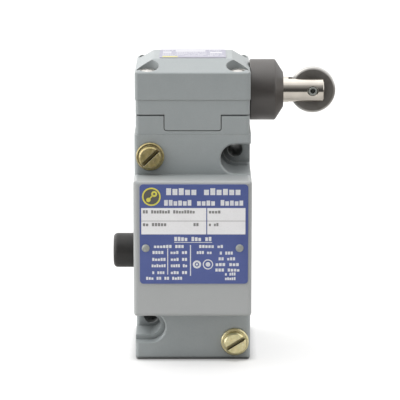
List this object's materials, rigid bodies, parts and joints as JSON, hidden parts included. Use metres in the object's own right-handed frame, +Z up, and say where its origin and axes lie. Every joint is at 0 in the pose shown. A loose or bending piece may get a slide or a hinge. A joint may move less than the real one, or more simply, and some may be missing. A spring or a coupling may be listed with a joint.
{
  "type": "limit switch",
  "caption": "Heavy-duty plug-in limit switch in a die-cast case, with a side roller plunger on a turnable head and a push button.",
  "frame": {"origin": "centre of the conduit entry's mouth on the bottom face", "axes": "+X the way the plunger comes out, +Y back into the mounting panel, +Z up towards the head"},
  "size_m": [0.0768, 0.0566, 0.1045],
  "materials": {
    "grey_enamel": "semi-gloss grey enamel on a zinc die casting",
    "black_phenolic": "moulded phenolic",
    "brown_phenolic": "moulded phenolic",
    "zinc_steel": "bright zinc plate",
    "yellow_brass": "plain brass",
    "copper_alloy": "copper alloy strip",
    "green_zinc": "green dyed zinc plate",
    "black_rubber": "nitrile rubber",
    "blue_plate": "blue enamelled aluminium plate",
    "rivet_metal": "plain, slightly dull",
    "yellow_zinc": "yellow chromate on zinc plate",
    "cream_plastic": "moulded nylon",
    "spring_steel": "drawn wire",
    "label_film": "printed film",
    "polished_steel": "ground and polished",
    "dark_bushing": "satin brown-black oxide",
    "nickel_rod": "bright nickel plate",
    "dark_steel": "hardened steel, turned face and bright rim",
    "bronze": "sintered bronze",
    "black_plastic": "moulded, matt"
  },
  "bodies": {
    "enclosure": {"receptacle": "grey_enamel", "terminal_block": "black_phenolic", "terminal_screws": "zinc_steel", "terminal_clamps": "yellow_brass", "jack_contacts": "copper_alloy", "ground_screw": "green_zinc", "ground_clamp": "yellow_brass", "body_gasket": "black_rubber", "switch_body": "grey_enamel", "nameplate": "blue_plate", "nameplate_rivets": "rivet_metal", "captive_screw_upper": "yellow_zinc", "captive_screw_lower": "yellow_zinc", "contact_block_base": "brown_phenolic", "contact_block_cover": "brown_phenolic", "contact_block_screws": "zinc_steel", "fixed_contacts": "copper_alloy", "carrier_spring": "spring_steel", "head_gasket": "black_rubber", "head_housing": "grey_enamel", "head_label": "label_film", "head_screws": "zinc_steel", "pin_spring": "spring_steel", "pin_seal": "black_rubber", "plunger_bushing": "dark_bushing", "bushing_o_ring": "black_rubber", "plunger_wiper": "black_rubber", "plunger_spring": "spring_steel", "button_spring": "spring_steel", "button_o_ring": "black_rubber"},
    "plunger": {"plunger_rod": "nickel_rod", "guide_pin": "polished_steel", "roller_pin": "rivet_metal"},
    "roller": {"roller": "dark_steel", "roller_bush": "bronze"},
    "push_pin": {"operating_pin": "polished_steel", "follower_ball": "polished_steel"},
    "carrier": {"contact_carrier": "cream_plastic", "contact_bridges": "copper_alloy", "contact_springs": "spring_steel"},
    "button": {"button_cap": "black_plastic", "button_stem": "polished_steel", "button_ring": "spring_steel"}
  },
  "joints": [
    {"name": "plunger_slide", "type": "slide", "parent": "enclosure", "child": "plunger", "axis": [-1, 0, 0], "range_m": [0, 0.003], "stiffness_N_per_m": 2000, "springref_m": -0.004, "deforming": ["plunger_spring"]},
    {"name": "roller_spin", "type": "hinge", "parent": "plunger", "child": "roller", "pos_m": [0.0416, -0.01, 0.0919], "axis": [0, 1, 0], "continuous": true},
    {"name": "pin_slide", "type": "slide", "parent": "enclosure", "child": "push_pin", "axis": [0, 0, -1], "range_m": [0, 0.0025], "deforming": ["pin_spring"]},
    {"name": "carrier_slide", "type": "slide", "parent": "enclosure", "child": "carrier", "axis": [0, 0, -1], "range_m": [0, 0.0025], "deforming": ["carrier_spring"]},
    {"name": "button_slide", "type": "slide", "parent": "enclosure", "child": "button", "axis": [1, 0, 0], "range_m": [0, 0.003], "stiffness_N_per_m": 800, "springref_m": -0.003, "deforming": ["button_spring"]}
  ],
  "couplings": [
    {"joint": "pin_slide", "follows": "plunger_slide", "ratio": 0.83333},
    {"joint": "carrier_slide", "follows": "plunger_slide", "ratio": 0.83333}
  ]
}
